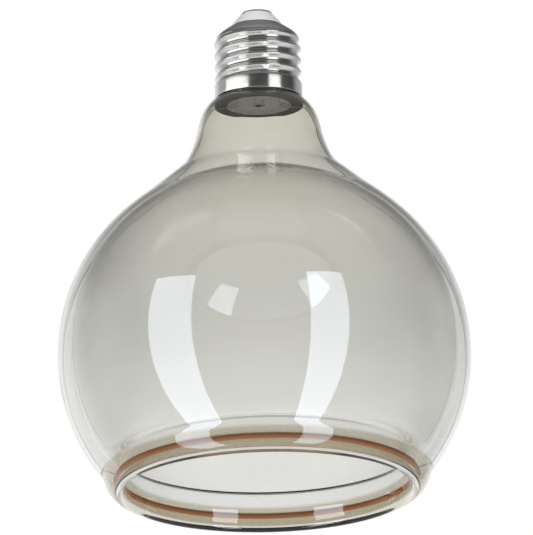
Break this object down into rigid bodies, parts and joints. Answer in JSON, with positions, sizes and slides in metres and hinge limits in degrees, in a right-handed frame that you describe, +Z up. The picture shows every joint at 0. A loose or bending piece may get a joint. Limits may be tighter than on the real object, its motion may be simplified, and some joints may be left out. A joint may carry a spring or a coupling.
{
  "type": "LED globe lamp",
  "caption": "Decorative LED lamp with a double-walled smoky glass globe that is open at the bottom, a filament ring in its rim and an E27 screw cap.",
  "frame": {"origin": "centre of the rim's lower edge, on the surface that the lamp stands on", "axes": "+Z up along the lamp's axis towards the cap, -Y the front, +X to the viewer's right"},
  "size_m": [0.1246, 0.1246, 0.1507],
  "materials": {
    "nickel": "polished nickel plate",
    "white_insulator": "smooth white",
    "cement": "dull",
    "grey_plastic": "matt",
    "green_board": "solder mask",
    "black_package": "moulded",
    "capacitor_sleeve": "shrink sleeve",
    "ferrite": "dull",
    "copper_wire": "enamelled wire",
    "resistor_body": "lacquered",
    "chip_ceramic": "dull",
    "blue_board": "solder mask",
    "tin_can": "tinned",
    "gold_trace": "gold plate",
    "black_wire": "insulation",
    "blue_wire": "insulation",
    "red_wire": "insulation",
    "clear_glass": "clear, faintly smoked",
    "lead_metal": "drawn wire",
    "smoked_glass": "smooth, smoky grey",
    "strip_ceramic": "dull",
    "led_die": "clear die",
    "phosphor": "silicone with amber phosphor",
    "clamp_metal": "dark crimp"
  },
  "bodies": {
    "root": {"contact_disc": "nickel", "screw_shell": "nickel", "contact_insulator": "white_insulator", "cap_cement": "cement", "driver_cup": "grey_plastic", "driver_board": "green_board", "bridge_rectifier": "black_package", "driver_chip": "black_package", "bulk_capacitor": "capacitor_sleeve", "choke_core": "ferrite", "choke_winding": "copper_wire", "fuse_resistor": "resistor_body", "chip_parts": "chip_ceramic", "radio_board": "blue_board", "radio_shield": "tin_can", "radio_antenna": "gold_trace", "live_wire": "black_wire", "neutral_wire": "blue_wire", "output_wires": "red_wire", "stem_disc": "clear_glass", "stem_seal": "cement", "exhaust_tube": "clear_glass", "lead_wire_left": "lead_metal", "lead_wire_right": "lead_metal", "outer_globe": "smoked_glass", "inner_globe": "smoked_glass", "filament_strip_front": "strip_ceramic", "filament_strip_rear": "strip_ceramic", "led_dice_front": "led_die", "led_dice_rear": "led_die", "phosphor_front": "phosphor", "phosphor_rear": "phosphor", "filament_clamp_left": "clamp_metal", "filament_clamp_right": "clamp_metal"}
  },
  "joints": []
}
